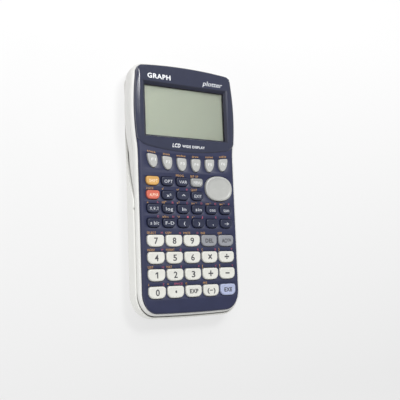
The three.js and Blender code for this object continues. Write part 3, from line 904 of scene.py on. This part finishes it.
def make_keys():
    for number in range(1, 7):
        node = f"key_f{number}"
        x, y = soft_place(number)
        legends = [(f"F{number}", 2.7, -0.014 * x + 0.2, 0.7, 3.3, 0.0)]
        key_cap(node, partial(soft_outline, x, y), "key_silver", "ink_pale", legends, **SOFT_FORM)
    for name, (words, width) in SMALL_LEGENDS.items():
        node = f"key_{name}"
        outline = partial(key_outline, *place_of(node), *SMALL_SHAPE)
        slot = KEY_SLOTS.get(name, "key_navy")
        ink = SMALL_INKS.get(name, "ink_legend")
        size = 3.4 if words.islower() else 3.1
        key_cap(node, outline, slot, ink, [(words, size, 0.3, -0.1, width, 0.0)], **SMALL_FORM)
    for name, legends in NUMBER_LEGENDS.items():
        node = f"key_{name}"
        outline = partial(key_outline, *place_of(node), *NUMBER_SHAPE)
        key_cap(node, outline, KEY_SLOTS.get(name, "key_white"), "ink_dark", legends, **NUMBER_FORM)


def place_of(node):
    """The middle of a key's plan: its box is longer at the bow, so the bow is taken off."""
    x, y, _ = middle(node)
    bow = SMALL_SHAPE[4] if node.removeprefix("key_") in SMALL_LEGENDS else NUMBER_SHAPE[4]
    return x, y + bow / 4


def make_pad():
    """The cursor pad: a flange, a rounded rim and a shallow dish inside it."""
    low, high = mm_box("cursor_pad")
    top = high.z
    rings = [
        (-0.9, low.z), (-0.9, low.z + 0.5), (0, low.z + 0.6), (0, top - 0.75), (0.06, top - 0.5),
        (0.25, top - 0.25), (0.55, top - 0.08), (0.95, top), (1.35, top - 0.03), (1.7, top - 0.14),
        (2.0, top - 0.28), (2.35, top - 0.36), (4, top - 0.42), (6.5, top - 0.5), (8.5, top - 0.54),
    ]
    build = Build()
    build.stack([at_height(pad_outline(inset), z) for inset, z in rings])
    piece = build.piece("cursor_pad_cap", ["key_silver"])
    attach(piece, "cursor_pad")
    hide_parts("cursor_pad")


# ---- Panel ----
EDGE_Y = 26.4
EDGE_BOW = 2.4
EDGE_HALF = 30.0


def bezel_edge(shift):
    """The right half of the display panel's lower edge, from the middle outwards and up the side."""
    points = []
    for i in range(16):
        x = EDGE_HALF * i / 15
        points.append((x, EDGE_Y + EDGE_BOW * (x / EDGE_HALF) ** 2 - shift))
    base = EDGE_Y + EDGE_BOW - shift
    corner = [(EDGE_HALF, base), (36.5, base + 0.9), (38.8, base + 2.2), (41.5 + shift, base + 8.5)]
    return points + bezier(corner, 14)[1:]


def meet(edge, body):
    """The part of an edge inside a body's side, and the point where it crosses that side."""
    for i, (x, y) in enumerate(edge):
        half = side_half(y, body)
        if x >= half - 0.01:
            px, py = edge[i - 1]
            share = (half - px) / max(x - px, 1e-6)
            return edge[:i], (half, py + (y - py) * share)
    return edge, edge[-1]


def keyboard_outline(inset, shift):
    """The keyboard panel's outline: the front's own, up to the display panel's lower edge."""
    body = shrunk(PANEL, inset)
    edge, cross = meet(bezel_edge(shift), body)
    lower = [p for p in half_outline(body) if p[1] < cross[1] - 0.2] + [cross]
    right = resample(lower, 90) + resample([cross] + list(reversed(edge)), 40)[1:]
    return mirrored(right)


def key_holes(grow):
    """The outlines of the panel's holes: soft keys, small keys, larger keys and the pad."""
    holes = [soft_outline(*soft_place(number), -grow) for number in range(1, 7)]
    for names, shape in ((SMALL_LEGENDS, SMALL_SHAPE), (NUMBER_LEGENDS, NUMBER_SHAPE)):
        holes += [key_outline(*place_of(f"key_{name}"), *shape, -grow) for name in names]
    return holes + [pad_outline(-grow - 0.15)]


def make_panel():
    """The keyboard panel: a plate with a rounded rim and a rounded edge at every hole, and the shelf
    that the display panel lies on."""
    build = Build()
    rings = []
    for z, inset in rounded_steps(PANEL_BOTTOM, PANEL_TOP, PANEL_ROLL, count=8):
        rings.append(at_height(keyboard_outline(inset, 0.35 - inset / 4), z))
    outer = build.stack(rings, caps=False)
    rim = 0.18
    gap = 0.25
    steps = [
        (PANEL_BOTTOM, gap), (PANEL_TOP - rim, gap), (PANEL_TOP - rim * 0.4, gap + rim * 0.2),
        (PANEL_TOP, gap + rim),
    ]
    layers = [[at_height(hole, z) for hole in key_holes(grow)] for z, grow in steps]
    walls = [build.stack([ring[::-1] for ring in rings], caps=False) for rings in zip(*layers)]
    build.flat(outer[-1], [wall[-1] for wall in walls])
    build.flat(outer[0], [wall[0] for wall in walls], up=False)
    shelf = BEZEL_BOTTOM - 0.1
    opening = window_ring(2.4, 2.4, 2.4)
    build.stack([
        at_height(bezel_ring(0), PANEL_BOTTOM), at_height(bezel_ring(0), shelf),
        at_height(opening, shelf), at_height(opening, PANEL_BOTTOM),
    ], closed=True)
    add_panel_labels(build)
    piece = build.piece("keyboard_panel", ["panel_navy", "ink_yellow", "ink_red"])
    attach(piece, "housing")
    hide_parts("faceplate")


SOFT_LABELS = ["trace", "zoom", "window", "draw", "solve", "table"]
# key under the label: (yellow words on the left, their width, red letter or word on the right)
KEY_LABELS = {
    "variables": ("PROG", 6.4, ""), "menu": ("SET UP", 6.6, ""),
    "alpha": ("LOCK", 5.6, ""), "square": ("√", 1.6, ""), "power": ("x√", 2.2, "θ"),
    "exit": ("QUIT", 5.2, ""),
    "variable_x": ("∠", 1.4, "A"), "log": ("10ˣ", 3.4, "B"), "ln": ("eˣ", 2.2, "C"),
    "sin": ("sin⁻¹", 4.4, "D"), "cos": ("cos⁻¹", 4.6, "E"), "tan": ("tan⁻¹", 4.4, "F"),
    "fraction": ("", 0, "G"), "convert": ("a/b-c", 4.8, "H"), "open_bracket": ("³√", 1.8, "I"),
    "close_bracket": ("x⁻¹", 2.0, "J"), "comma": ("", 0, "K"), "store": ("", 0, "L"),
    "7": ("SELECT", 7.0, "M"), "8": ("COPY", 4.8, "N"), "9": ("PASTE", 5.6, "O"),
    "delete": ("INS", 3.4, ""), "all_clear": ("OFF", 3.4, ""),
    "4": ("INDEX", 5.6, "P"), "5": ("FORMAT", 6.6, "Q"), "6": ("", 0, "R"),
    "multiply": ("{", 0.9, "S"), "divide": ("}", 0.9, "T"),
    "1": ("LIST", 4.2, "U"), "2": ("MAT", 4.2, "V"), "3": ("", 0, "W"), "plus": ("[", 0.7, "X"),
    "minus": ("]", 0.7, "Y"),
    "0": ("i", 0.4, "Z"), "point": ("=", 1.4, "SPACE"), "exponent": ("π", 1.4, ""),
    "negate": ("ANS", 3.6, ""),
}


def add_panel_labels(build):
    """The small legends over the keys, in yellow (slot 1) and red (slot 2)."""
    def surface(x, y):
        return PANEL_TOP

    for number, words in enumerate(SOFT_LABELS, 1):
        x, y = soft_place(number)
        slope = math.atan(2 * SOFT_ARC * (x - GRID_X))
        width = 0.9 * len(words) + 2.0
        add_text(build, words, 2.2, x, y + 6.7, width, surface, 1, turn=slope, spacing=1.1)
    for name, (left, width, right) in KEY_LABELS.items():
        x, y = place_of(f"key_{name}")
        shape = SMALL_SHAPE if name in SMALL_LEGENDS else NUMBER_SHAPE
        start, end = x - shape[0] / 2, x + shape[0] / 2
        y = y + shape[1] / 2 + 1.35
        if left:
            add_text(build, left, 2.2, start + width / 2 + 0.3, y, width, surface, 1, spacing=1.1)
        if right:
            width = 1.35 * len(right)
            add_text(build, right, 2.0, end - 0.6 - width / 2, y, width, surface, 2)


# ---- Display ----
def resample(points, count):
    """Evenly spaced points along a polyline, its ends included."""
    lengths = [0.0]
    for (x0, y0), (x1, y1) in zip(points, points[1:]):
        lengths.append(lengths[-1] + math.hypot(x1 - x0, y1 - y0))
    made = []
    index = 0
    for i in range(count + 1):
        target = lengths[-1] * i / count
        while index < len(points) - 2 and lengths[index + 1] < target:
            index += 1
        span = lengths[index + 1] - lengths[index]
        share = (target - lengths[index]) / span if span else 0
        (x0, y0), (x1, y1) = points[index], points[index + 1]
        made.append((x0 + (x1 - x0) * share, y0 + (y1 - y0) * share))
    return made


RUNS = (18, 16, 16, 18)
FAR_CORNER_Y = 85.4


def joined(runs):
    """A closed ring from four runs of its right half, each resampled to its number in RUNS."""
    right = []
    for run, count in zip(runs, RUNS):
        right += resample(run, count)[:-1]
    right.append(runs[-1][-1])
    return mirrored(right)


def split_at(points, test):
    """The points up to the first that passes a test, and from it on."""
    for i, p in enumerate(points):
        if test(p):
            return points[: i + 1], points[i:]
    return points, points[-1:]


def bezel_ring(inset):
    """The display panel's outline, in four runs: lower edge, lower side, upper side, far edge."""
    body = shrunk(PANEL, inset)
    edge, cross = meet(bezel_edge(-inset), body)
    lower, corner = split_at(edge + [cross], lambda p: p[0] >= 36.6 - inset)
    side = corner + [p for p in half_outline(body) if p[1] > cross[1] + 0.2]
    before, after = split_at(side, lambda p: p[1] >= WINDOW_MIDDLE)
    far_side, far_edge = split_at(after, lambda p: p[1] >= FAR_CORNER_Y - inset)
    return joined([lower, before, far_side, far_edge])


def ridge_ring():
    """Where the sloping sides of the display panel meet its flat top."""
    inset = 0.9
    side = 37.0
    corner = (38.6, 84.6)
    far = 88.7 - inset
    edge, _ = meet(bezel_edge(-inset), shrunk(PANEL, inset))
    lower, _ = split_at(edge, lambda p: p[0] >= 35.0)
    x, y = lower[-1]
    before = bezier([(x, y), (36.6, y + 0.8), (side, y + 3), (side, y + 7)], 10)
    far_side = bezier([(side, 74), (side, 79), (37.6, 82.5), corner], 12)
    far_edge = [(x, far - HIGH_BOW * (x / PANEL["half"]) ** 2) for x in (36.5, 33, 28, 22, 16, 10, 5, 0)]
    middle_point = (side, WINDOW_MIDDLE)
    return joined([lower, before + [middle_point], [middle_point] + far_side, [corner] + far_edge])


def window_ring(grow_x, grow_low, grow_far):
    """The window's rectangle, grown at the sides, at its lower end and at its far end."""
    x = WINDOW_HALF + grow_x
    low = WINDOW_LOW - grow_low
    far = WINDOW_HIGH + grow_far
    stops = [(0, low), (x, low), (x, WINDOW_MIDDLE), (x, far), (0, far)]
    return joined([list(run) for run in zip(stops, stops[1:])])


def bezel_height(x, y):
    """The display panel's top is flat beside the window and falls slightly towards both ends."""
    far = max(0.0, (y - 76) / 12)
    near = max(0.0, (36 - y) / 9)
    return BEZEL_TOP - 0.35 * far**2 - 0.2 * near**2


def between(ring, other, share):
    """A ring part of the way from one to another."""
    pairs = zip(ring, other)
    return [(x0 + (x1 - x0) * share, y0 + (y1 - y0) * share) for (x0, y0), (x1, y1) in pairs]


def make_bezel():
    """The display panel: a rounded edge, sloping sides, a flat top and the well down to the window."""
    white, dark, grey = 1, 2, 3
    foot = PANEL_TOP + 0.05
    rings = [at_height(bezel_ring(0), BEZEL_BOTTOM), at_height(bezel_ring(0.02), foot)]
    for turn in (math.radians(30), math.radians(60)):
        rings.append(at_height(bezel_ring(0.4 * (1 - math.cos(turn))), foot + 0.4 * math.sin(turn)))
    shoulder = bezel_ring(0.45)
    ridge = ridge_ring()
    base = PANEL_TOP + 0.48
    for i in range(7):
        share = i / 6
        rise = math.sin(share * math.pi / 2)
        rings.append([
            (x, y, base + (bezel_height(*top) - base) * rise)
            for (x, y), top in zip(between(shoulder, ridge, share), ridge)
        ])
    lip = window_ring(2.9, 1.4, 2.5)
    for share in (0.5, 1.0):
        rings.append([(x, y, bezel_height(x, y)) for x, y in between(ridge, lip, share)])
    rings.append(at_height(window_ring(2.7, 1.3, 2.4), BEZEL_TOP - 0.03))
    rings.append(at_height(window_ring(2.45, 1.2, 2.3), BEZEL_TOP - 0.1))
    rings.append(at_height(window_ring(1.65, 0.95, 1.95), BEZEL_TOP - 0.5))
    build = Build()
    build.stack(rings, caps=False)
    foot_of_well = window_ring(0.1, 0.0, 0.0)
    # the well's walls take the darker navy finish, its darker colour being painted shade
    build.stack([
        rings[-1], at_height(window_ring(0.4, 0.15, 0.3), BEZEL_BOTTOM + 0.35),
        at_height(foot_of_well, BEZEL_BOTTOM + 0.25), at_height(foot_of_well, BEZEL_BOTTOM), rings[0],
    ], slot=dark, caps=False)
    add_text(build, "GRAPH", 4.8, -22.2, 79.4, 18.6, bezel_height, white, 0.026, spacing=1.12)
    add_text(build, "plotter", 5.0, 22.9, 79.1, 17.6, bezel_height, grey, 0.006, shear=0.25)
    add_text(build, "LCD", 3.8, -9.9, 30.7, 6.6, bezel_height, white, 0.022, shear=0.2, spacing=1.1)
    add_text(build, "WIDE DISPLAY", 2.6, 4.4, 30.5, 19.0, bezel_height, white, 0.012, spacing=1.1)
    finishes = ["bezel_navy", "ink_white", "well_navy_painted_shade", "ink_legend"]
    piece = build.piece("display_panel", finishes, sharp_degrees=9)
    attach(piece, "housing")
    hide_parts("display_bezel")


def make_display():
    """The display: its carrier, the glass with a dark printed border, and the film in the middle."""
    low, high = mm_box("lcd_module")
    glass = ((-34.4, 35.5), (34.4, 75.4))
    film = ((-32.8, 37.7), (32.8, 72.95))
    carrier_top = FILM_TOP - 0.3
    build = Build()
    build.stack([
        rectangle(low, high, low.z), rectangle(low, high, carrier_top - 0.2),
        rectangle(low, high, carrier_top, 0.2),
    ], slot=1)
    build.stack([
        rectangle(*glass, carrier_top), rectangle(*glass, FILM_TOP - 0.1),
        rectangle(*glass, FILM_TOP - 0.02, 0.08),
    ], slot=1)
    build.stack([rectangle(*film, FILM_TOP - 0.03), rectangle(*film, FILM_TOP)])
    piece = build.piece("display_module", ["liquid_crystal", "socket_dark"])
    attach(piece, "housing")
    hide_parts("lcd_module")


# ---- Carried-over nodes ----
def paint_nodes():
    """Every CAD node takes the finish of its own slot."""
    for part in frame["record"]["subparts"]:
        node = frame["nodes"][part["node"]]
        node.data.materials.clear()
        node.data.materials.append(MATERIALS[part["material_slot"]])


# ---- Stage ----
CAMERA_PLACE = Vector((-252.9, -65.3, 426.4))
CAMERA_TARGET = Vector((8.87, -7.56, 19.2))
CAMERA_ROLL = math.radians(2.31)
LENS = 61.09
FLOOR_HALF = 2500


def make_camera():
    """The camera, rolled a little about its line of sight."""
    data = bpy.data.cameras.new("camera")
    data.lens = LENS
    data.sensor_width = 36
    camera = new_object("camera", data)
    forward = (CAMERA_TARGET - CAMERA_PLACE).normalized()
    right = forward.cross(Vector((0, 1, 0))).normalized()
    up = right.cross(forward)
    turned_up = up * math.cos(CAMERA_ROLL) + right * math.sin(CAMERA_ROLL)
    turned_right = right * math.cos(CAMERA_ROLL) - up * math.sin(CAMERA_ROLL)
    basis = Matrix((turned_right, turned_up, -forward)).transposed()
    camera.matrix_world = Matrix.Translation(CAMERA_PLACE * MM) @ basis.to_4x4()
    data.clip_start = 0.01
    bpy.context.scene.camera = camera


def area_light(name, place, size, power):
    """A white panel in metres and watts, aimed at the middle of the part."""
    data = bpy.data.lights.new(name, "AREA")
    data.shape = "RECTANGLE"
    data.size, data.size_y = size
    data.energy = power
    light = new_object(name, data)
    light.location = place
    light.rotation_euler = (Vector((0, 0, 0)) - Vector(place)).to_track_quat("-Z", "Y").to_euler()


def light_table():
    """The floor: white paper lit from below, slightly brighter towards the display end."""
    n = Nodes("floor_light_table")
    n.shader.inputs["Base Color"].default_value = linear(122, 122, 122)
    n.link(n.ramp(n.noise(40), 0.68, 0.72), n.shader.inputs["Roughness"])
    n.shader.inputs["Emission Color"].default_value = (1, 1, 1, 1)
    n.link(n.along("Y", -0.15, 0.15, 0.61, 0.74), n.shader.inputs["Emission Strength"])
    return n.material


def make_stage():
    scene = bpy.context.scene
    scene.view_settings.view_transform = "Standard"
    world = bpy.data.worlds.new("studio")
    world.use_nodes = True
    background = world.node_tree.nodes["Background"]
    background.inputs["Color"].default_value = (1, 1, 1, 1)
    background.inputs["Strength"].default_value = 0.48
    scene.world = world
    area_light("key_light", (0.0, 0.8, 0.85), (0.8, 0.5), 3.0)
    area_light("strip_light", (0.12, 0.51, 0.9), (0.28, 0.28), 4.6)
    area_light("left_light", (-0.85, -0.45, 0.32), (0.5, 0.4), 1.9)
    area_light("facet_light", (-0.5, 0.3, 0.9), (0.5, 0.35), 1.6)
    build = Build()
    build.cap(build.ring(rectangle((-FLOOR_HALF, -FLOOR_HALF), (FLOOR_HALF, FLOOR_HALF), 0)))
    MATERIALS["floor"] = light_table()
    build.piece("floor", ["floor"])


make_camera()
paint_nodes()
make_slide_cover()
make_rear_case()
make_fasteners()
make_battery_cover()
make_sockets()
make_upper_case()
make_panel()
make_bezel()
make_display()
make_pad()
make_keys()
make_stage()
